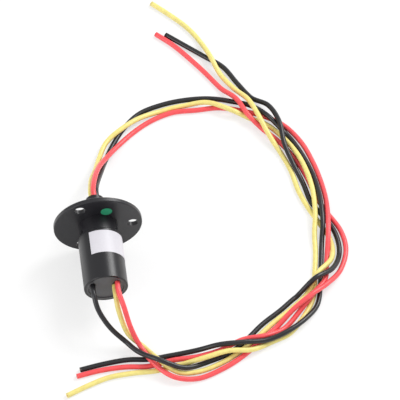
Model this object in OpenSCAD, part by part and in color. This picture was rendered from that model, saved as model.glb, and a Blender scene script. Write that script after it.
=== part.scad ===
// Capsule slip ring: a rotor with three contact rings turns on two ball bearings in a flanged housing.
// Millimetres. The axis of rotation is Y. The origin is the middle of the flange's body-side face.
// The body lies toward -Y, the boss and the rotor leads toward +Y, and +Z is up.

/* [Flange] */
// Flange diameter
flange_d = 44.5; // [42:0.5:50]
// Flange thickness
flange_t = 2.4; // [2:0.1:3.5]
// Diameter of the three mounting holes
hole_d = 5.5; // [3:0.1:6]
// Diameter of the circle the mounting holes lie on
hole_circle_d = 35; // [34:0.5:36]
// Chamfer on the flange's edges
flange_chamfer = 0.3; // [0.1:0.05:0.6]

/* [Housing] */
// Outer diameter of the housing tube
body_d = 22; // [21.6:0.1:23]
// Wall of the housing tube
body_wall = 1; // [0.8:0.05:1.2]
// Length of the bare neck between flange and tube
neck_l = 8; // [7.6:0.2:11]
// How far the tube's far rim stands proud of the end cap's face
rim_proud = 0.6; // [0.4:0.1:1.2]
// Diameter of the slots that the stator leads leave by
slot_d = 3.2; // [2.9:0.1:3.4]

/* [Rotor] */
// Diameter of the boss
boss_d = 9; // [8.8:0.1:9.2]
// Length of the boss beyond the flange
boss_l = 13.6; // [8:0.2:18]
// Bore that the rotor leads run in
lead_bore_d = 6; // [5.8:0.1:6.4]

/* [Contacts] */
// Width of a contact ring
ring_w = 3.2; // [3:0.1:3.6]
// Width of the barrier between two rings
barrier_w = 1.2; // [0.8:0.1:1.4]
// Thickness and width of the sprung brush strip
brush_t = 0.6; // [0.5:0.05:0.65]

/* [Leads] */
// Outer diameter of a lead
lead_d = 2.6; // [2:0.1:2.6]
// Diameter of the tails inside the housing
tail_d = 0.6; // [0.4:0.05:0.6]

/* [Label] */
// Width of the label along the tube
label_w = 13; // [8:0.5:18]
// How far the label wraps round the tube, in degrees
label_wrap = 150; // [90:5:180]
// Diameter of the round sticker on the flange
sticker_d = 5.7; // [4:0.1:6]

/* [Hidden] */
$fn = 64;
cut = 0.01;

// Housing, worked out
body_r = body_d / 2;
inner_r = body_r - body_wall;
press_gap = 0.05;
spigot_r = inner_r - press_gap;
neck_r = inner_r - 0.25;
spigot_l = 4;

// In every bearing the races reach this share of a ball's radius toward the balls, and the cage this share
race_share = 0.7;
cage_share = 0.3;

// Front bearing: its bore is the boss, and it fills most of the housing
front_bore_r = boss_d / 2;
front_out_r = 0.85 * inner_r;
front_w = 5;
front_pitch_r = (front_out_r + front_bore_r) / 2;
front_ball_r = (front_out_r - front_bore_r) / 4;
front_balls_n = 11;
bearing_start = 0.2;
front_mid = bearing_start - front_w / 2;
front_end = bearing_start - front_w;
washer_t = 0.4;
ball_gap = 0.03;
knuckle = 1.12;

// Flange's inner lip and the seal's recess
lip_r = front_bore_r + 0.7;
lip_start = bearing_start + washer_t;
seal_recess_r = front_bore_r + 2;
seal_gap = 0.3;
seal_t = 1;
shield_t = 0.3;
shield_gap = 0.15;

// Grub screws in the neck
screw_r = 0.9;
screw_y = front_end - screw_r;
screw_tip_r = front_out_r - 0.7;
screw_head_r = neck_r - 0.2;
screw_socket_r = 0.45;
screw_angles = [30, 150, 270];

// Contact stack, from the collar toward the end cap
rings_n = 3;
stack_start = -neck_l - spigot_l - 0.6;
ring_pitch = ring_w + barrier_w;
stack_l = rings_n * ring_pitch + barrier_w;
stack_end = stack_start - stack_l;
ring_r = 0.62 * inner_r;
groove_r = ring_r - 0.5;
groove_offset = 0.8;
groove_w = 0.9;
collar_r = front_bore_r + 0.75;
seat_r = boss_d / 2;

// Rear bearing and what holds it
spacer_l = 1.2;
spacer_r = seat_r + 0.7;
spacer_step = 0.3;
rear_start = stack_end - spacer_l;
rear_w = 3;
rear_end = rear_start - rear_w;
rear_mid = rear_start - rear_w / 2;
rear_bore_r = 2.5;
rear_out_r = 4.5;
rear_pitch_r = (rear_out_r + rear_bore_r) / 2;
rear_ball_r = 0.3 * (rear_out_r - rear_bore_r);
rear_balls_n = 9;
plate_lip_t = 0.5;
circlip_t = 0.5;
circlip_r = rear_bore_r + 0.9;
groove_depth = 0.4;
shaft_end = rear_end - circlip_t - 0.6;

// End cap, and the rim of the tube beyond it
cap_gap = 1.6;
cap_t = 3.4;
cap_start = rear_end - plate_lip_t - cap_gap;
cap_end = cap_start - cap_t;
body_end = cap_end - rim_proud;
cap_rim_r = 0.9 * inner_r;
cap_rim_end = body_end + 0.1;
potting_end = cap_end + 0.3;
rim_round = 0.5;
rim_notch_w = 3.8;
rim_notch_depth = 0.4;
rim_notch_angle = 67;

// Brush block and brushes, from the tube's wall inward
block_top = inner_r - 1.6;
block_low = block_top - 1;
barrier_r = block_low - 0.4;
brush_gap = 0.03;
brush_x = groove_r + brush_t / 2 + brush_gap;
brush_foot = -5;
brush_knee = 4;
bar_z = block_top + brush_t / 2;
tag_t = 0.3;
tag_z = bar_z + brush_t / 2;
bar_x = sqrt(pow(inner_r - 0.1, 2) - pow(tag_z, 2)) - brush_t / 2;
tag_w = 1.6;
tag_l = 2.2;
lane = 0.2 * inner_r;
lane_x = [-lane, lane, 0];
plate_notch_w = 2 * (lane + 0.6);
tail_r = tail_d / 2;
lane_z = tag_z + 0.3;
tail_turn = shaft_end - 0.3;

// Where the leads leave, and how far they run straight first
exit_black = [-0.66, 0.32] * inner_r;
exit_red = [0.57, 0.4] * inner_r;
exit_yellow = [0.42, 0.1] * inner_r;
straight = 6;
lead_r = lead_d / 2;
slot_r = slot_d / 2;
boss_end = flange_t + boss_l;
potting_depth = 6;
bore_end = stack_end + 1;
rotor_exit_r = lead_bore_d / 2 - lead_r - 0.1;
tail_hole_r = 0.9;

// Label and sticker
label_start = -neck_l - 1.7;
label_t = 0.12;
label_from = -120;
sticker_r = sticker_d / 2;
sticker_at_r = neck_r + sticker_r + 0.4;
sticker_angle = 70;
sticker_t = 0.1;

// Leads: each is swept along a route of points, given as across, along and height
lead_sides = 8;
rings_per_span = 2;
lie = lead_r - flange_d / 2;

// Each lead has its own place in the bore, as across and height
rotor_place = rotor_exit_r * [[0, 1], [-0.87, -0.5], [0.87, -0.5]];

// The first two points of a route: it leaves at e and runs straight along the axis
function leaving(e, start, run) = [[e.x, start, e.y], [e.x, start + run, e.y]];

route_rotor_black = concat(leaving(rotor_place[2], boss_end, straight), [
    [3, 31, -7], [6, 42, -14], [9, 52, -20],
    [14, 62, lie], [21, 72, lie], [30, 80, lie], [42, 84, lie], [54, 85.5, lie], [66, 85, lie],
    [77, 82, lie], [87, 77, -19.5], [95, 68, -17.5], [103, 58, lie], [108, 48, lie], [112, 36, lie],
    [114, 24, -19.5], [114.5, 13, -17.5], [114, 1, -17.5], [112, -10, -20], [110, -22, lie],
    [108, -34, lie], [105, -46, lie], [98, -55, -18.5], [88, -62, -17.5], [77, -66, -17.5],
    [65, -67, -15.5], [53, -67, -15.5], [42, -66.5, -19.5], [30, -67, lie], [18, -68, lie],
    [7, -67, lie], [-5, -68, lie], [-17, -70, lie]]);

route_rotor_red = concat(leaving(rotor_place[0], boss_end, straight), [
    [2, 32, -3], [5, 42, -9.5], [10, 52, -16.5],
    [17, 61, -20], [26, 69, lie], [36, 75, lie], [47, 78.5, lie], [59, 78.5, lie], [71, 78.5, lie],
    [83, 75, lie], [94, 70, lie], [103, 63, lie], [110, 52, lie], [114, 40, lie], [116.5, 28, lie],
    [117.5, 16, -19.5], [117, 4, -17.5], [115.5, -8, -17.5], [113, -21, lie], [110.5, -33, -19],
    [104, -41, -17.5], [96, -49, -20], [87, -58, lie], [77, -63, -18], [65, -64, -18],
    [53, -68.5, -18.5], [41, -69.5, lie], [29, -70, lie], [17, -72, lie], [5, -71, lie],
    [-7, -71.5, lie], [-19, -73.5, lie]]);

route_rotor_yellow = concat(leaving(rotor_place[1], boss_end, straight), [
    [0, 32, -6], [3, 42, -12.5], [6, 53, -18.5],
    [11, 63, -19], [20, 70, -18], [30, 76, -19], [41, 80, lie], [53, 82, lie], [65, 81, -18.5],
    [76, 75, -18], [86, 70, lie], [95, 64, lie], [102, 54, -20], [107, 43, -18.5], [110, 32, -18],
    [111.5, 20, -18], [111, 7, -18], [109, -5, -20], [108, -16, lie], [106, -28, lie],
    [104, -40, lie], [99, -50, lie], [89.5, -61, lie], [79, -65.5, lie], [69, -70, -18.5],
    [57, -70.5, -16.5], [45, -73, -16.5], [33, -73, lie], [21, -75, lie], [9, -75, lie],
    [-3, -76, lie], [-14, -79.5, lie], [-25, -84, lie]]);

route_stator_red = concat(leaving(exit_red, potting_end, -straight), [
    [7.5, -49.5, 0.5], [10, -56, -9],
    [14, -62, -17.5], [20, -73, -18], [29, -81, -19], [41, -82, lie], [53, -78, lie],
    [63, -72.5, lie], [73, -65, lie], [83, -57, lie], [92, -50, -17.5], [102, -44, -14.5],
    [111, -37, -17], [119, -27.5, lie], [123.5, -16, lie], [122.5, -4, lie], [117, 8, lie],
    [113, 18, lie], [110, 30, lie], [106, 41, lie], [100, 52, lie], [92, 62, lie], [85, 70, -17.5],
    [80, 81, -17.5], [73, 91, lie], [66, 102, lie], [59, 112, lie], [52, 121, lie], [44, 129, lie]]);

route_stator_yellow = concat(leaving(exit_yellow, potting_end, -straight), [
    [5, -49.5, -3.5], [8.5, -56, -14],
    [16, -61, -20.5], [22, -71, -17], [31, -78, -19.5], [42, -78, lie], [53, -74.5, lie],
    [63, -69, lie], [73, -61.5, lie], [82, -54, lie], [92, -47, lie], [100, -40, lie],
    [107, -31, -16], [115.5, -21, -19], [116.5, -9, lie], [112.5, 1.5, lie], [108, 12, lie],
    [104.5, 23, lie], [102.5, 35, lie], [99, 46, lie], [94, 57, -18.5], [90, 68, -16],
    [86, 79, -16.5], [80, 89, -20], [74, 99, -20], [70, 110, -18], [66, 122, lie], [60, 132, lie],
    [52, 141, lie], [44, 149, lie]]);

route_stator_black = concat(leaving(exit_black, potting_end, -straight), [
    [-5, -49, -1.5], [0, -54.5, -9.5],
    [7, -59, -16.5], [13, -66, -16.5], [22, -73, -14], [34, -77, -17.5], [45, -73.5, lie],
    [57, -69.5, lie], [67, -62.5, lie], [76, -54.5, lie], [86, -47.5, lie], [95, -40.5, lie],
    [105, -35, -14], [115, -28, -17.5], [120, -17, lie], [119.5, -5, lie], [115, 5.5, lie],
    [110, 15, lie], [107.5, 27, lie], [104, 38, -19], [101, 50, -17.5], [100, 63, -16],
    [96, 75, -18], [88, 83, lie], [82, 93, lie], [76, 104, lie], [67, 112, lie], [58, 120, lie],
    [49, 128, lie]]);

// ---- Helpers ----

// Turns what is drawn round Z so that it lies round the Y axis, with +Z as +Y
module on_axis(at = 0) {
    translate([0, at, 0]) rotate([-90, 0, 0]) children();
}

// A plain ring from its low end, with a radius inside and outside
module tube(low, high, r_in, r_out) {
    on_axis(low) difference() {
        cylinder(h = high - low, r = r_out);
        translate([0, 0, -cut]) cylinder(h = high - low + 2 * cut, r = r_in);
    }
}

// A disc from its low end to its high end
module disc(low, high, r) {
    on_axis(low) cylinder(h = high - low, r = r);
}

// A round rod between two points
module rod(a, b, r) {
    d = b - a;
    translate(a) rotate([0, acos(d.z / norm(d)), atan2(d.y, d.x)]) cylinder(h = norm(d), r = r, $fn = 24);
}

// Rods from point to point, with a small knuckle at each bend
module wire(points, r) {
    for (i = [0 : len(points) - 2]) rod(points[i], points[i + 1], r);
    for (i = [1 : len(points) - 2]) translate(points[i]) sphere(r = knuckle * r, $fn = 24);
}

// Square to the line from a to b, one long
function across(a, b) = let (d = unit(b - a)) [-d.y, d.x];

// A line of points moved sideways by h
function beside(p, h) =
    let (last = len(p) - 1)
    [for (i = [0 : last])
        let (m = across(p[max(i - 1, 0)], p[max(i, 1)]),
            n = across(p[min(i, last - 1)], p[min(i + 1, last)]))
        p[i] + h * (m + n) / (1 + m * n)];

// A flat strip bent along points given as across and height
module strip(points, thick, wide) {
    one_side = beside(points, thick / 2);
    other_side = beside(points, -thick / 2);
    back = [for (i = [len(points) - 1 : -1 : 0]) other_side[i]];
    rotate([90, 0, 0]) linear_extrude(height = wide, center = true) polygon(concat(one_side, back));
}

// Where the middle of a contact ring lies, counted from 0
function ring_at(i) = stack_start - barrier_w - ring_w / 2 - i * ring_pitch;

// ---- Swept leads ----

// A point on the smooth curve between b and c, whose neighbours are a and d
function curve(a, b, c, d, t) =
    ((2 * b) + (c - a) * t + (2 * a - 5 * b + 4 * c - d) * t * t + (3 * b - a - 3 * c + d) * t * t * t) / 2;

// Nothing dips below the surface that the leads lie on
function lifted(p) = [p.x, p.y, max(p.z, lie)];

function centres(p) =
    let (last = len(p) - 1, q = concat([2 * p[0] - p[1]], p, [2 * p[last] - p[last - 1]]))
    concat(
        [for (i = [0 : last - 1], k = [0 : rings_per_span - 1])
            lifted(curve(q[i], q[i + 1], q[i + 2], q[i + 3], k / rings_per_span))],
        [p[last]]);

function unit(v) = v / norm(v);

function heading(c, i) =
    i == 0 ? [0, sign(c[1].y - c[0].y), 0]
    : unit(c[min(i + 1, len(c) - 1)] - c[i - 1]);

// One ring of corners round a centre, square to the way the lead runs
function ring_points(c, i) =
    let (along = heading(c, i), side = unit(cross(along, [0, 0, 1])), up = cross(side, along))
    [for (k = [0 : lead_sides - 1])
        let (turn = 360 * (k + 0.5) / lead_sides)
        c[i] + lead_r * (cos(turn) * side + sin(turn) * up)];

module lead(points) {
    c = centres(points);
    n = len(c);
    s = lead_sides;
    corners = [for (i = [0 : n - 1]) each ring_points(c, i)];
    walls = [for (i = [0 : n - 2], k = [0 : s - 1])
        let (a = i * s + k, b = i * s + (k + 1) % s)
        each [[a, b, a + s], [b, b + s, a + s]]];
    near_end = [for (k = [s - 1 : -1 : 0]) k];
    far_end = [for (k = [0 : s - 1]) (n - 1) * s + k];
    polyhedron(points = corners, faces = concat(walls, [near_end], [far_end]), convexity = 10);
}

// ---- Housing ----

// Disc, neck and spigot in one moulding, bored for the front bearing and recessed for the seal
module flange() {
    color([0.13, 0.13, 0.14]) difference() {
        union() {
            on_axis()
                cylinder(h = flange_chamfer, r1 = flange_d / 2 - flange_chamfer, r2 = flange_d / 2, $fn = 96);
            on_axis(flange_chamfer) cylinder(h = flange_t - 2 * flange_chamfer, r = flange_d / 2, $fn = 96);
            on_axis(flange_t - flange_chamfer)
                cylinder(h = flange_chamfer, r1 = flange_d / 2, r2 = flange_d / 2 - flange_chamfer, $fn = 96);
            disc(-neck_l, flange_t / 2, neck_r);
            disc(-neck_l - spigot_l, -neck_l, spigot_r);
        }
        disc(-neck_l - spigot_l - cut, lip_start, front_out_r);
        disc(-cut, flange_t + cut, lip_r);
        disc(flange_t - seal_t, flange_t + cut, seal_recess_r);
        for (a = [0, 120, 240]) rotate([0, -a, 0])
            translate([hole_circle_d / 2, 0, 0]) disc(-cut, flange_t + cut, hole_d / 2);
        for (a = screw_angles) rotate([0, -a, 0])
            translate([screw_tip_r, screw_y, 0]) rotate([0, 90, 0])
                cylinder(h = inner_r - screw_tip_r, r = screw_r, $fn = 32);
    }
}

// Three grub screws that lock the front bearing's outer race
module neck_screws() {
    color([0.35, 0.35, 0.37]) for (a = screw_angles) rotate([0, -a, 0])
        translate([screw_tip_r, screw_y, 0]) rotate([0, 90, 0]) difference() {
            cylinder(h = screw_head_r - screw_tip_r, r = screw_r, $fn = 32);
            translate([0, 0, screw_head_r - screw_tip_r - 0.5]) cylinder(h = 1, r = screw_socket_r, $fn = 6);
        }
}

// Housing tube with rounded rims, and a shallow notch in the far one
module housing_tube() {
    tube_l = -neck_l - body_end;
    color([0.12, 0.12, 0.13]) difference() {
        on_axis(body_end) rotate_extrude($fn = 96) {
            translate([inner_r, 0]) square([body_wall - rim_round, tube_l]);
            translate([inner_r, rim_round]) square([body_wall, tube_l - 2 * rim_round]);
            for (y = [rim_round, tube_l - rim_round])
                translate([body_r - rim_round, y]) circle(r = rim_round, $fn = 32);
        }
        rotate([0, -rim_notch_angle, 0]) translate([inner_r - 1, body_end - cut, -rim_notch_w / 2])
            cube([body_wall + 2, rim_notch_depth + cut, rim_notch_w]);
    }
}

// The opening for the red and the yellow lead, and the one for the black lead
module lead_slots(low, high, r) {
    run = exit_red - exit_yellow;
    waist = 0.96 * r;
    for (e = [exit_red, exit_yellow, exit_black]) translate([e.x, 0, e.y]) disc(low, high, r);
    translate([exit_yellow.x, 0, exit_yellow.y]) rotate([0, -atan2(run.y, run.x), 0])
        translate([0, low, -waist]) cube([norm(run), high - low, 2 * waist]);
}

// End cap pressed into the tube, with its two lead slots and a raised rim
module end_cap() {
    color([0.3, 0.3, 0.31]) difference() {
        disc(cap_rim_end, cap_start, spigot_r);
        disc(cap_rim_end - cut, cap_end, cap_rim_r);
        lead_slots(cap_rim_end - 2 * cut, cap_start + cut, slot_r);
    }
}

// Potting that fills the slots to just below the cap's face
module slot_potting() {
    color([0.08, 0.08, 0.08]) lead_slots(potting_end, cap_start, slot_r);
}

// Plate that carries the rear bearing, notched for the tails
module rear_plate() {
    color([0.4, 0.4, 0.42]) difference() {
        disc(rear_end - plate_lip_t, rear_start, spigot_r);
        disc(rear_end, rear_start + cut, rear_out_r);
        disc(rear_end - plate_lip_t - cut, rear_end + cut, circlip_r + 0.5);
        translate([-plate_notch_w / 2, rear_end - plate_lip_t - cut, block_top + 0.1])
            cube([plate_notch_w, rear_w + plate_lip_t + 2 * cut, inner_r - block_top]);
    }
}

// ---- Bearings ----

// One race: a ring with the groove that its balls run in
module race(mid, w, r_in, r_out, pitch_r, ball_r) {
    difference() {
        tube(mid - w / 2, mid + w / 2, r_in, r_out);
        on_axis(mid) rotate_extrude() translate([pitch_r, 0]) circle(r = ball_r + ball_gap, $fn = 32);
    }
}

// The balls of one bearing
module balls(mid, n, pitch_r, r) {
    for (i = [0 : n - 1]) rotate([0, i * 360 / n, 0]) translate([pitch_r, mid, 0]) sphere(r = r, $fn = 24);
}

// A cage: a ring with a round pocket for each ball
module cage(mid, n, pitch_r, ball_r) {
    thick = 2 * cage_share * ball_r;
    r_in = pitch_r - thick / 2;
    color([0.7, 0.6, 0.35]) difference() {
        tube(mid - 1.3 * ball_r, mid + 1.3 * ball_r, r_in, r_in + thick);
        for (i = [0 : n - 1]) rotate([0, i * 360 / n, 0])
            translate([r_in - thick, mid, 0]) rotate([0, 90, 0])
                cylinder(h = 3 * thick, r = ball_r + ball_gap, $fn = 24);
    }
}

// The radius at which a race ends, beside its balls
front_shoulder = race_share * front_ball_r;
rear_shoulder = race_share * rear_ball_r;

module front_outer_race() {
    color([0.75, 0.75, 0.77])
        race(front_mid, front_w, front_pitch_r + front_shoulder, front_out_r, front_pitch_r, front_ball_r);
}

module front_inner_race() {
    color([0.75, 0.75, 0.77])
        race(front_mid, front_w, front_bore_r, front_pitch_r - front_shoulder, front_pitch_r, front_ball_r);
}

module front_balls() {
    color([0.85, 0.85, 0.87]) balls(front_mid, front_balls_n, front_pitch_r, front_ball_r);
}

module front_cage() cage(front_mid, front_balls_n, front_pitch_r, front_ball_r);

// Shield inside the outer race, on the side of the contacts
module front_shield() {
    color([0.6, 0.6, 0.62]) tube(front_end, front_end + shield_t,
        front_pitch_r - front_shoulder + shield_gap, front_pitch_r + front_shoulder);
}

module rear_outer_race() {
    color([0.75, 0.75, 0.77])
        race(rear_mid, rear_w, rear_pitch_r + rear_shoulder, rear_out_r, rear_pitch_r, rear_ball_r);
}

module rear_inner_race() {
    color([0.75, 0.75, 0.77])
        race(rear_mid, rear_w, rear_bore_r, rear_pitch_r - rear_shoulder, rear_pitch_r, rear_ball_r);
}

module rear_balls() {
    color([0.85, 0.85, 0.87]) balls(rear_mid, rear_balls_n, rear_pitch_r, rear_ball_r);
}

module rear_cage() cage(rear_mid, rear_balls_n, rear_pitch_r, rear_ball_r);

// Springy washer between the flange's lip and the outer race
module preload_washer() {
    color([0.55, 0.55, 0.57]) tube(bearing_start, lip_start, front_pitch_r - 0.2, front_out_r - 0.1);
}

// Dust seal in the flange, round the boss
module dust_seal() {
    color([0.05, 0.05, 0.05]) tube(flange_t - seal_t, flange_t, front_bore_r + seal_gap, seal_recess_r);
}

// ---- Brushes ----

// The run of one sprung strip: up one side of the ring, over the block and down the other side
function brush_run() = [
    [-brush_x, brush_foot], [-brush_x, brush_knee], [-bar_x, bar_z],
    [bar_x, bar_z], [brush_x, brush_knee], [brush_x, brush_foot]];

// Block across the tube, slotted for the legs of the brushes
module brush_block() {
    color([0.55, 0.42, 0.22]) difference() {
        intersection() {
            disc(rear_start, -neck_l - spigot_l, spigot_r);
            translate([-inner_r, rear_start, block_low])
                cube([2 * inner_r, -neck_l - spigot_l - rear_start, block_top - block_low]);
        }
        for (i = [0 : rings_n - 1], g = [-1, 1])
            translate([0, ring_at(i) + g * groove_offset, 0])
                strip(brush_run(), brush_t + 2 * press_gap, brush_t + 2 * press_gap);
    }
}

// Two strips, one in each groove of a ring
module brush(i) {
    color([0.85, 0.68, 0.3]) for (g = [-1, 1])
        translate([0, ring_at(i) + g * groove_offset, 0]) strip(brush_run(), brush_t, brush_t);
}

module brush_1() brush(0);
module brush_2() brush(1);
module brush_3() brush(2);

// Solder tags on the brushes, each in its own lane
module terminal_tags() {
    color([0.8, 0.8, 0.78]) for (i = [0 : rings_n - 1])
        translate([lane_x[i] - tag_w / 2, ring_at(i) - tag_l / 2, tag_z]) cube([tag_w, tag_l, tag_t]);
}

// Tails from the tags along the block, over the rear plate and round to the slots
module stator_tails() {
    exits = [exit_black, exit_red, exit_yellow];
    color([0.75, 0.3, 0.25]) for (i = [0 : rings_n - 1])
        wire([[lane_x[i], ring_at(i) - tag_l / 2, lane_z], [lane_x[i], tail_turn, lane_z],
            [exits[i].x, tail_turn, exits[i].y], [exits[i].x, cap_start, exits[i].y]], tail_r);
}

// ---- Rotor ----

// Boss, front journal, collar, ring seat and rear journal, with the lead bore and its side holes
module rotor_shaft() {
    color([0.11, 0.11, 0.12]) difference() {
        union() {
            disc(front_end, boss_end, boss_d / 2);
            disc(stack_start, front_end, collar_r);
            disc(stack_end, stack_start, seat_r);
            disc(shaft_end, stack_end, rear_bore_r);
        }
        disc(bore_end, boss_end + cut, lead_bore_d / 2);
        for (i = [0 : rings_n - 1]) side_hole(i);
        tube(rear_end - circlip_t, rear_end, rear_bore_r - groove_depth, rear_bore_r + cut);
    }
}

module side_hole(i) {
    out = seat_r * unit(rotor_place[i]) * 1.2;
    rod([0, ring_at(i), 0], [out.x, ring_at(i), out.y], tail_hole_r);
}

// Tails from the potting down the bore and out to each ring
module rotor_tails() {
    color([0.75, 0.3, 0.25]) for (i = [0 : rings_n - 1]) {
        p = rotor_place[i];
        out = seat_r * unit(p);
        wire([[p.x, boss_end - potting_depth, p.y], [p.x, ring_at(i), p.y],
            [out.x, ring_at(i), out.y]], tail_r);
    }
}

module contact_ring(i) {
    color([0.86, 0.7, 0.3]) difference() {
        tube(ring_at(i) - ring_w / 2, ring_at(i) + ring_w / 2, seat_r, ring_r);
        for (g = [-1, 1]) tube(ring_at(i) + g * groove_offset - groove_w / 2,
            ring_at(i) + g * groove_offset + groove_w / 2, groove_r, ring_r + cut);
    }
}

module contact_ring_1() contact_ring(0);
module contact_ring_2() contact_ring(1);
module contact_ring_3() contact_ring(2);

module barrier(i) {
    start = stack_start - i * ring_pitch;
    color([0.15, 0.15, 0.17]) tube(start - barrier_w, start, seat_r, barrier_r);
}

module barrier_1() barrier(0);
module barrier_2() barrier(1);
module barrier_3() barrier(2);
module barrier_4() barrier(3);

// Stepped spacer that holds the stack off the rear bearing
module core_spacer() {
    color([0.5, 0.5, 0.52]) {
        tube(rear_start + spacer_step, stack_end, rear_bore_r, spacer_r);
        tube(rear_start, rear_start + spacer_step, rear_bore_r, rear_bore_r + 0.5);
    }
}

// Open ring in the journal's groove
module rear_circlip() {
    color([0.3, 0.3, 0.32]) difference() {
        tube(rear_end - circlip_t, rear_end, rear_bore_r - groove_depth, circlip_r);
        translate([-0.8, rear_end - circlip_t - cut, 0]) cube([1.6, circlip_t + 2 * cut, circlip_r + 1]);
    }
}

// Potting that closes the bore round the rotor leads
module lead_potting() {
    color([0.08, 0.08, 0.08]) disc(boss_end - potting_depth, boss_end, lead_bore_d / 2);
}

// ---- Skins and leads ----

module label() {
    color([0.93, 0.93, 0.93]) on_axis(label_start - label_w) rotate([0, 0, label_from])
        rotate_extrude(angle = label_wrap, $fn = 96) translate([body_r, 0]) square([label_t, label_w]);
}

module sticker() {
    color([0.15, 0.6, 0.3]) rotate([0, -sticker_angle, 0])
        translate([sticker_at_r, 0, 0]) disc(-sticker_t, 0, sticker_r);
}

module stator_lead_red() color([0.9, 0.28, 0.3]) lead(route_stator_red);
module stator_lead_yellow() color([0.9, 0.82, 0.4]) lead(route_stator_yellow);
module stator_lead_black() color([0.07, 0.07, 0.07]) lead(route_stator_black);
module rotor_lead_red() color([0.9, 0.28, 0.3]) lead(route_rotor_red);
module rotor_lead_yellow() color([0.9, 0.82, 0.4]) lead(route_rotor_yellow);
module rotor_lead_black() color([0.07, 0.07, 0.07]) lead(route_rotor_black);

// ---- What is drawn ----

flange();
neck_screws();
housing_tube();
end_cap();
slot_potting();
rear_plate();
front_outer_race();
front_shield();
preload_washer();
dust_seal();
rear_outer_race();
brush_block();
brush_1();
brush_2();
brush_3();
terminal_tags();
stator_tails();
label();
sticker();
rotor_shaft();
front_inner_race();
front_balls();
front_cage();
rear_inner_race();
rear_balls();
rear_cage();
core_spacer();
rear_circlip();
contact_ring_1();
contact_ring_2();
contact_ring_3();
barrier_1();
barrier_2();
barrier_3();
barrier_4();
lead_potting();
rotor_tails();
stator_lead_red();
stator_lead_yellow();
stator_lead_black();
rotor_lead_red();
rotor_lead_yellow();
rotor_lead_black();
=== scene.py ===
# %% [markdown]
# # A capsule slip ring with loose leads
# A slip ring passes current between a part that stands still and a part that turns. This one has a
# round housing behind a flange, a boss that turns in front of it, and three leads out of each end. The
# rigid pieces come from the frame as finished solids. This script dresses them, and models the leads.

import math

import bmesh
import bpy
import numpy as np
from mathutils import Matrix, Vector


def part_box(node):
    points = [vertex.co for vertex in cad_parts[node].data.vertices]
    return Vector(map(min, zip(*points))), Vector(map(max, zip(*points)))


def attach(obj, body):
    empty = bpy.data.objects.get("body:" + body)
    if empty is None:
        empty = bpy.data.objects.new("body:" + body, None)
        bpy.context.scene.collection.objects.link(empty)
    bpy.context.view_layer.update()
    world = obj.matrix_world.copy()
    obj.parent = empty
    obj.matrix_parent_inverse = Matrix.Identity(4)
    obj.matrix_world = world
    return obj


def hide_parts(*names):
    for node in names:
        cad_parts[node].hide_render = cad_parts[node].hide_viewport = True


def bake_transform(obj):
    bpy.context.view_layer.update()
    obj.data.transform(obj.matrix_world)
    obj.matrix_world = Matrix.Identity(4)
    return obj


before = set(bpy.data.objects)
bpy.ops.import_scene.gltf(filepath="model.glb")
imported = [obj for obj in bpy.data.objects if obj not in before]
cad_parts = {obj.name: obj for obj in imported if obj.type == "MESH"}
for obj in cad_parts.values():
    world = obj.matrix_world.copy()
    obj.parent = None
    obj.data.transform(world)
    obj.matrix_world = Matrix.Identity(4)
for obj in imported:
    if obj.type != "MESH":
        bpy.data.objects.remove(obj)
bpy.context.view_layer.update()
mm = 0.001

# %% [markdown]
# ## Camera
# A long lens far away keeps parallel edges nearly parallel, as in a catalogue picture. The camera is
# aimed at a point to the right of the flange, so that the housing and the whole loop of leads are in
# view. The direction is worked out from two angles: how far round the camera stands, and how high.

# %% Camera
turn = math.radians(-7)
lift = math.radians(56.3)
to_right = Vector((math.cos(turn), math.sin(turn), 0))
to_front = Vector((-math.sin(turn) * math.cos(lift), math.cos(turn) * math.cos(lift), -math.sin(lift)))
to_top = to_right.cross(to_front)

camera = bpy.data.objects.new("camera", bpy.data.cameras.new("camera"))
bpy.context.scene.collection.objects.link(camera)
bpy.context.scene.camera = camera
aim_right, aim_top = 51 * mm, 13 * mm
aim = to_right * aim_right + to_top * aim_top
distance = 2.2
lens_length, film_width = 396, 36
camera.location = aim - to_front * distance
camera.rotation_euler = to_front.to_track_quat("-Z", "Y").to_euler()
camera.data.lens = lens_length
camera.data.sensor_width = film_width
camera.data.clip_end = 20
print("camera at", [round(v, 3) for v in camera.location])

# %% [markdown]
# ## Routes of the leads
# A lead is a soft thing with a fixed length. Each route is a short list of points, as across, along and
# height in millimetres. The lead goes straight out of its end, drops under its own weight, and lies on
# the table, with a low hump wherever it passes over its neighbours.

# %% Table height and exits
lead_across = 2.6
flange_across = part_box("flange")[1][2] / mm * 2
lie = lead_across / 2 - flange_across / 2
boss_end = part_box("rotor_shaft")[1][1] / mm
slot_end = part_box("slot_potting")[0][1] / mm
straight = 6
print("a lead lies with its middle at", round(lie, 2), "mm")

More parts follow.
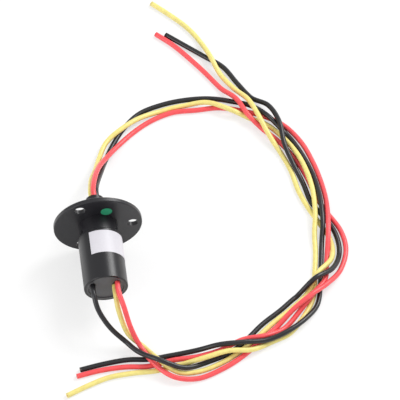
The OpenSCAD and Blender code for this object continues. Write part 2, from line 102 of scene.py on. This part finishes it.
# %% Rotor leads
routes = {}
routes["rotor_black"] = [
    (1.4, boss_end, -0.8), (1.4, boss_end + straight, -0.8), (3, 31, -7), (6, 42, -14), (9, 52, -20),
    (14, 62, lie), (21, 72, lie), (30, 80, lie), (42, 84, lie), (54, 85.5, lie), (66, 85, lie),
    (77, 82, lie), (87, 77, -19.5), (95, 68, -17.5), (103, 58, lie), (108, 48, lie), (112, 36, lie),
    (114, 24, -19.5), (114.5, 13, -17.5), (114, 1, -17.5), (112, -10, -20), (110, -22, lie),
    (108, -34, lie), (105, -46, lie), (98, -55, -18.5), (88, -62, -17.5), (77, -66, -17.5),
    (65, -67, -15.5), (53, -67, -15.5), (42, -66.5, -19.5), (30, -67, lie), (18, -68, lie),
    (7, -67, lie), (-5, -68, lie), (-17, -70, lie)]
routes["rotor_red"] = [
    (0, boss_end, 1.6), (0, boss_end + straight, 1.6), (2, 32, -3), (5, 42, -9.5), (10, 52, -16.5),
    (17, 61, -20), (26, 69, lie), (36, 75, lie), (47, 78.5, lie), (59, 78.5, lie), (71, 78.5, lie),
    (83, 75, lie), (94, 70, lie), (103, 63, lie), (110, 52, lie), (114, 40, lie), (116.5, 28, lie),
    (117.5, 16, -19.5), (117, 4, -17.5), (115.5, -8, -17.5), (113, -21, lie), (110.5, -33, -19),
    (104, -41, -17.5), (96, -49, -20), (87, -58, lie), (77, -63, -18), (65, -64, -18),
    (53, -68.5, -18.5), (41, -69.5, lie), (29, -70, lie), (17, -72, lie), (5, -71, lie),
    (-7, -71.5, lie), (-19, -73.5, lie)]
routes["rotor_yellow"] = [
    (-1.4, boss_end, -0.8), (-1.4, boss_end + straight, -0.8), (0, 32, -6), (3, 42, -12.5), (6, 53, -18.5),
    (11, 63, -19), (20, 70, -18), (30, 76, -19), (41, 80, lie), (53, 82, lie), (65, 81, -18.5),
    (76, 75, -18), (86, 70, lie), (95, 64, lie), (102, 54, -20), (107, 43, -18.5), (110, 32, -18),
    (111.5, 20, -18), (111, 7, -18), (109, -5, -20), (108, -16, lie), (106, -28, lie),
    (104, -40, lie), (99, -50, lie), (89.5, -61, lie), (79, -65.5, lie), (69, -70, -18.5),
    (57, -70.5, -16.5), (45, -73, -16.5), (33, -73, lie), (21, -75, lie), (9, -75, lie),
    (-3, -76, lie), (-14, -79.5, lie), (-25, -84, lie)]

# %% Stator leads
routes["stator_red"] = [
    (5.7, slot_end, 4), (5.7, slot_end - straight, 4), (7.5, -49.5, 0.5), (10, -56, -9),
    (14, -62, -17.5), (20, -73, -18), (29, -81, -19), (41, -82, lie), (53, -78, lie),
    (63, -72.5, lie), (73, -65, lie), (83, -57, lie), (92, -50, -17.5), (102, -44, -14.5),
    (111, -37, -17), (119, -27.5, lie), (123.5, -16, lie), (122.5, -4, lie), (117, 8, lie),
    (113, 18, lie), (110, 30, lie), (106, 41, lie), (100, 52, lie), (92, 62, lie), (85, 70, -17.5),
    (80, 81, -17.5), (73, 91, lie), (66, 102, lie), (59, 112, lie), (52, 121, lie), (44, 129, lie)]
routes["stator_yellow"] = [
    (4.2, slot_end, 1), (4.2, slot_end - straight, 1), (5, -49.5, -3.5), (8.5, -56, -14),
    (16, -61, -20.5), (22, -71, -17), (31, -78, -19.5), (42, -78, lie), (53, -74.5, lie),
    (63, -69, lie), (73, -61.5, lie), (82, -54, lie), (92, -47, lie), (100, -40, lie),
    (107, -31, -16), (115.5, -21, -19), (116.5, -9, lie), (112.5, 1.5, lie), (108, 12, lie),
    (104.5, 23, lie), (102.5, 35, lie), (99, 46, lie), (94, 57, -18.5), (90, 68, -16),
    (86, 79, -16.5), (80, 89, -20), (74, 99, -20), (70, 110, -18), (66, 122, lie), (60, 132, lie),
    (52, 141, lie), (44, 149, lie)]
routes["stator_black"] = [
    (-6.6, slot_end, 3.2), (-6.6, slot_end - straight, 3.2), (-5, -49, -1.5), (0, -54.5, -9.5),
    (7, -59, -16.5), (13, -66, -16.5), (22, -73, -14), (34, -77, -17.5), (45, -73.5, lie),
    (57, -69.5, lie), (67, -62.5, lie), (76, -54.5, lie), (86, -47.5, lie), (95, -40.5, lie),
    (105, -35, -14), (115, -28, -17.5), (120, -17, lie), (119.5, -5, lie), (115, 5.5, lie),
    (110, 15, lie), (107.5, 27, lie), (104, 38, -19), (101, 50, -17.5), (100, 63, -16),
    (96, 75, -18), (88, 83, lie), (82, 93, lie), (76, 104, lie), (67, 112, lie), (58, 120, lie),
    (49, 128, lie)]

# %% [markdown]
# ## From points to a smooth line
# Straight runs between the points would show as kinks. A Catmull-Rom curve passes through every point
# and keeps its direction there, so a few points give a smooth lead. Nothing may dip below the table.

# %% Smooth line
steps_a_span = 8


def curve_point(a, b, c, d, t):
    bend = (2 * a - 5 * b + 4 * c - d) * t ** 2 + (3 * b - a - 3 * c + d) * t ** 3
    return (2 * b + (c - a) * t + bend) / 2


def smooth_line(points):
    p = np.array(points, float)
    q = np.vstack([2 * p[0] - p[1], p, 2 * p[-1] - p[-2]])
    line = [curve_point(*q[i:i + 4], k / steps_a_span)
            for i in range(len(p) - 1) for k in range(steps_a_span)]
    line = np.array(line + [p[-1]])
    line[:, 2] = np.maximum(line[:, 2], lie)
    return line * mm


def length_of(line):
    return float(np.linalg.norm(np.diff(line, axis=0), axis=1).sum())


lines = {name: smooth_line(points) for name, points in routes.items()}
for name, line in lines.items():
    print(name, "is", round(length_of(line) / mm), "mm long")

# %% [markdown]
# ## Materials
# Every finish is a small node tree. A noise texture bends the surface a little and shifts the colour a
# little, because no moulded or extruded surface is quite even. Plain numbers are set on the shader's
# own sockets. A rubber sleeve is satin, so its highlight is broad and soft. A drawn copper strand is a
# bright metal.

# %% Material helper
noise_detail = 5
tint_from, tint_to = 0.35, 0.65
rough_spread = 0.05


def new_material(name, colour, rough, spread=0.06, grain=900, bump=0.15, depth=0.00002, **sockets):
    made = bpy.data.materials.new(name)
    made.use_nodes = True
    nodes, links = made.node_tree.nodes, made.node_tree.links
    shader = nodes["Principled BSDF"]
    place = nodes.new("ShaderNodeTexCoord")
    noise = nodes.new("ShaderNodeTexNoise")
    noise.inputs["Scale"].default_value = grain
    noise.inputs["Detail"].default_value = noise_detail
    links.new(place.outputs["Object"], noise.inputs["Vector"])
    tint = nodes.new("ShaderNodeValToRGB")
    low, high = [tuple(min(1, c * f) for c in colour) + (1,) for f in (1 - spread, 1 + spread)]
    tint.color_ramp.elements[0].position, tint.color_ramp.elements[0].color = tint_from, low
    tint.color_ramp.elements[1].position, tint.color_ramp.elements[1].color = tint_to, high
    links.new(noise.outputs["Fac"], tint.inputs["Fac"])
    links.new(tint.outputs["Color"], shader.inputs["Base Color"])
    sheen = nodes.new("ShaderNodeMapRange")
    sheen.inputs["To Min"].default_value = rough - rough_spread
    sheen.inputs["To Max"].default_value = rough + rough_spread
    links.new(noise.outputs["Fac"], sheen.inputs["Value"])
    links.new(sheen.outputs["Result"], shader.inputs["Roughness"])
    relief = nodes.new("ShaderNodeBump")
    relief.inputs["Strength"].default_value = bump
    relief.inputs["Distance"].default_value = depth
    links.new(noise.outputs["Fac"], relief.inputs["Height"])
    links.new(relief.outputs["Normal"], shader.inputs["Normal"])
    for socket, value in sockets.items():
        shader.inputs[socket.replace("_", " ")].default_value = value
    return made


# %% Lead sleeves
sleeve_finish = {
    "red": new_material("sleeve red", (0.84, 0.08, 0.09), 0.36, grain=400),
    "yellow": new_material("sleeve yellow", (0.77, 0.66, 0.21), 0.36, grain=400),
    "black": new_material("sleeve black", (0.012, 0.012, 0.014), 0.34, grain=400),
}
copper_finish = new_material("copper strands", (0.75, 0.32, 0.16), 0.3, grain=3000, Metallic=1.0)
print("finishes for the leads:", len(sleeve_finish) + 1)

# %% [markdown]
# ## Leads
# Each lead is a tube of rings swept along its line. At the cut end the sleeve shows its wall and the
# twist of fine copper strands inside it, which a plain closed tube would lack. A bevelled curve could
# give the same tube, but rings built by hand keep their order, which makes it easy to say later how
# each one moves.

# %% Ring frames along a line
lead_sides = 20


def ring_frames(line):
    ahead = np.gradient(line, axis=0)
    ahead[0] = (0, math.copysign(1, line[1][1] - line[0][1]), 0)
    ahead /= np.linalg.norm(ahead, axis=1)[:, None]
    side = np.cross(ahead, (0, 0, 1))
    side /= np.linalg.norm(side, axis=1)[:, None]
    return side, np.cross(side, ahead)


def ring(centre, side, up, radius):
    turns = [2 * math.pi * (k + 0.5) / lead_sides for k in range(lead_sides)]
    return [centre + radius * (math.cos(t) * side + math.sin(t) * up) for t in turns]


# %% [markdown]
# ## Strands
# A flexible lead is cut square, and its conductor is a bundle of fine wires, six laid round one. Seven
# short rods in the mouth of the sleeve are enough to show it. The middle rod stands a little proud of
# the others.

# %% Strands in a cut end
sleeve_bore = 0.62
sleeve_depth = 0.8 * mm
strands = 7
strand_share = 0.19
strand_circle = 2.1
strand_inset = 0.08
strand_twist = math.radians(35)
strand_sides = 8


def add_strands(shape, end, inward, side, up, radius):
    """Seven fine strands, six round one, each a small closed rod that follows the twist."""
    thick = strand_share * radius
    for k in range(strands):
        is_middle = k == strands - 1
        out = 0 if is_middle else strand_circle * thick
        rings = []
        for depth, twist in ((1, 0), (0.5, 0.5), (0 if is_middle else strand_inset, 1)):
            turn = 2 * math.pi * k / (strands - 1) + twist * strand_twist
            outward = math.cos(turn) * side + math.sin(turn) * up
            middle = end + inward * depth * sleeve_depth + out * outward
            corners = [2 * math.pi * i / strand_sides for i in range(strand_sides)]
            rings.append([shape.verts.new(middle + thick * (math.cos(c) * side + math.sin(c) * up))
                          for c in corners])
        for a, b in zip(rings, rings[1:]):
            for i in range(strand_sides):
                m = (i + 1) % strand_sides
                shape.faces.new((a[i], b[i], b[m], a[m])).material_index = 1
        shape.faces.new(rings[0]).material_index = 1
        shape.faces.new(rings[-1][::-1]).material_index = 1


# %% One lead


def make_lead(name, line, finish):
    side, up = ring_frames(line)
    radius = lead_across / 2 * mm
    rings = [ring(line[i], side[i], up[i], radius) for i in range(len(line))]
    back = (line[-2] - line[-1]) / np.linalg.norm(line[-2] - line[-1])
    rings += [ring(line[-1], side[-1], up[-1], radius * sleeve_bore),
              ring(line[-1] + back * sleeve_depth, side[-1], up[-1], radius * sleeve_bore)]
    made = bpy.data.meshes.new(name)
    shape = bmesh.new()
    grid = [[shape.verts.new(p) for p in r] for r in rings]
    for a, b in zip(grid, grid[1:]):
        for k in range(lead_sides):
            m = (k + 1) % lead_sides
            shape.faces.new((a[k], b[k], b[m], a[m]))
    shape.faces.new(grid[0])
    shape.faces.new(grid[-1][::-1]).material_index = 1
    add_strands(shape, line[-1], back, side[-1], up[-1], radius)
    bmesh.ops.recalc_face_normals(shape, faces=shape.faces)
    for face in shape.faces:
        face.smooth = len(face.verts) == 4
    shape.to_mesh(made)
    shape.free()
    piece = bpy.data.objects.new(name, made)
    bpy.context.scene.collection.objects.link(piece)
    made.materials.append(finish)
    made.materials.append(copper_finish)
    return piece


leads = {}
for name, line in lines.items():
    side_name, colour = name.split("_")
    piece = make_lead(f"lead_{name}", line, sleeve_finish[colour])
    node = f"{side_name}_lead_{colour}"
    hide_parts(node)
    leads[name] = piece
print("leads made:", len(leads))

# %% [markdown]
# ## What the leads do when the rotor turns
# The stator leads stay with the housing. On the real ring the near end of a rotor lead goes round with the
# boss, and its far end lies on the table. Here a weight for each ring of a rotor lead, from one at the
# boss to nothing some way out, is worked out but not stored, and the rotor leads are not tied to the boss.

# %% Leads and the bodies they follow


def settle_on_rotor(piece, line, loose_from=4 * mm, still_at=44 * mm):
    """Bake the lead in place and work out a weight for each ring, from one near the boss to nothing on the
    table; the weights are not stored.
    """
    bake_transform(piece)
    along = np.concatenate([[0], np.cumsum(np.linalg.norm(np.diff(line, axis=0), axis=1))])
    t = np.clip((still_at - along) / (still_at - loose_from), 0, 1)
    share = t * t * (3 - 2 * t)
    values = np.zeros(len(piece.data.vertices), np.float32)
    values[:len(line) * lead_sides] = np.repeat(share, lead_sides)


for name, piece in leads.items():
    if name.startswith("rotor"):
        settle_on_rotor(piece, lines[name])
    else:
        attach(piece, "housing")
print("leads that bend with the rotor:", sum(name.startswith("rotor") for name in leads))

# %% [markdown]
# ## Finishes of the solids
# The housing, the tube and the boss are black mouldings with a satin gloss. Inside are ground bearing
# steel, gold plated rings and brushes, brass cages and a laminate block. Each finish is made once and
# shared.

# %% Finishes of the solids
black_moulding = new_material("black moulding", (0.011, 0.0105, 0.0135), 0.36)
tube_black = new_material("tube black", (0.008, 0.0077, 0.010), 0.30)
cap_grey = new_material("cap grey", (0.07, 0.07, 0.075), 0.5)
boss_black = new_material("boss black", (0.008, 0.0077, 0.010), 0.30)
potting = new_material("potting", (0.01, 0.01, 0.01), 0.25)
seal_black = new_material("seal", (0.012, 0.012, 0.012), 0.6)
steel = new_material("bearing steel", (0.62, 0.62, 0.64), 0.22, Metallic=1.0)
dark_steel = new_material("blackened steel", (0.12, 0.12, 0.13), 0.35, Metallic=1.0)
gold = new_material("gold plating", (0.86, 0.62, 0.22), 0.22, Metallic=1.0)
brass_cage = new_material("brass cage", (0.66, 0.5, 0.22), 0.35, Metallic=1.0)
board = new_material("laminate", (0.34, 0.2, 0.07), 0.55)
machined = new_material("machined aluminium", (0.5, 0.5, 0.52), 0.35, Metallic=1.0)
tinned = new_material("tinned brass", (0.7, 0.7, 0.68), 0.3, Metallic=1.0)
film_white = new_material("label film", (0.60, 0.585, 0.625), 0.45, spread=0.02)
film_green = new_material("sticker film", (0.025, 0.28, 0.14), 0.4)

finish_of = {
    "flange": black_moulding, "housing_tube": tube_black, "end_cap": cap_grey, "slot_potting": potting,
    "neck_screws": dark_steel, "rear_plate": machined, "preload_washer": steel, "dust_seal": seal_black,
    "front_shield": steel, "front_outer_race": steel, "front_inner_race": steel, "front_balls": steel,
    "rear_outer_race": steel, "rear_inner_race": steel, "rear_balls": steel,
    "front_cage": brass_cage, "rear_cage": brass_cage, "brush_block": board, "terminal_tags": tinned,
    "brush_1": gold, "brush_2": gold, "brush_3": gold,
    "contact_ring_1": gold, "contact_ring_2": gold, "contact_ring_3": gold,
    "barrier_1": seal_black, "barrier_2": seal_black, "barrier_3": seal_black, "barrier_4": seal_black,
    "stator_tails": sleeve_finish["red"], "rotor_tails": sleeve_finish["red"], "label": film_white,
    "sticker": film_green, "rotor_shaft": boss_black, "core_spacer": machined, "rear_circlip": dark_steel,
    "lead_potting": potting,
}
for name, finish in finish_of.items():
    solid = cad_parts[name]
    for slot in solid.material_slots:
        slot.material = finish
print("solids finished:", len(finish_of))

# %% [markdown]
# ## Floor
# The flange's rim and the leads rest on a plain pale floor. Where the camera sees it, part of its shade
# is swapped for plain white, so the background stays white and a soft shadow still grounds the object.

# %% Floor
table_height = -flange_across / 2 * mm
floor_across = 8
whitened = 0.6
bpy.ops.mesh.primitive_plane_add(size=floor_across, location=(0, 0, table_height))
floor = bpy.context.object
floor.name = "floor"
floor_finish = bpy.data.materials.new("floor")
floor_finish.use_nodes = True
nodes, links = floor_finish.node_tree.nodes, floor_finish.node_tree.links
shader = nodes["Principled BSDF"]
shader.inputs["Base Color"].default_value = (0.9, 0.9, 0.9, 1)
shader.inputs["Roughness"].default_value = 0.9
glow = nodes.new("ShaderNodeEmission")
pale = nodes.new("ShaderNodeMixShader")
pale.inputs["Fac"].default_value = whitened
seen = nodes.new("ShaderNodeMixShader")
ray = nodes.new("ShaderNodeLightPath")
links.new(shader.outputs["BSDF"], pale.inputs[1])
links.new(glow.outputs["Emission"], pale.inputs[2])
links.new(ray.outputs["Is Camera Ray"], seen.inputs["Fac"])
links.new(shader.outputs["BSDF"], seen.inputs[1])
links.new(pale.outputs["Shader"], seen.inputs[2])
links.new(seen.outputs["Shader"], nodes["Material Output"].inputs["Surface"])
floor.data.materials.append(floor_finish)
print("floor at", round(table_height / mm, 2), "mm")

# %% [markdown]
# ## Light
# Two large soft panels do the work. The key stands behind on the right and draws a long highlight down
# the tube and the leads. A weaker one in front on the left opens the shadow side. A white room fills in
# the rest.

# %% Lights
look_at = Vector((0.05, 0, 0))
room_light = 0.7


def soft_light(name, place, across, power):
    light = bpy.data.objects.new(name, bpy.data.lights.new(name, "AREA"))
    light.data.size = across
    light.data.energy = power
    light.location = place
    light.rotation_euler = (look_at - Vector(place)).to_track_quat("-Z", "Y").to_euler()
    bpy.context.scene.collection.objects.link(light)


soft_light("key light", (0.85, 0.45, 0.95), 0.7, 14)
soft_light("left light", (-0.9, -0.5, 0.6), 0.8, 6)
world = bpy.data.worlds.new("studio")
world.use_nodes = True
world.node_tree.nodes["Background"].inputs["Color"].default_value = (1, 1, 1, 1)
world.node_tree.nodes["Background"].inputs["Strength"].default_value = room_light
bpy.context.scene.world = world
bpy.context.scene.view_settings.view_transform = "Standard"
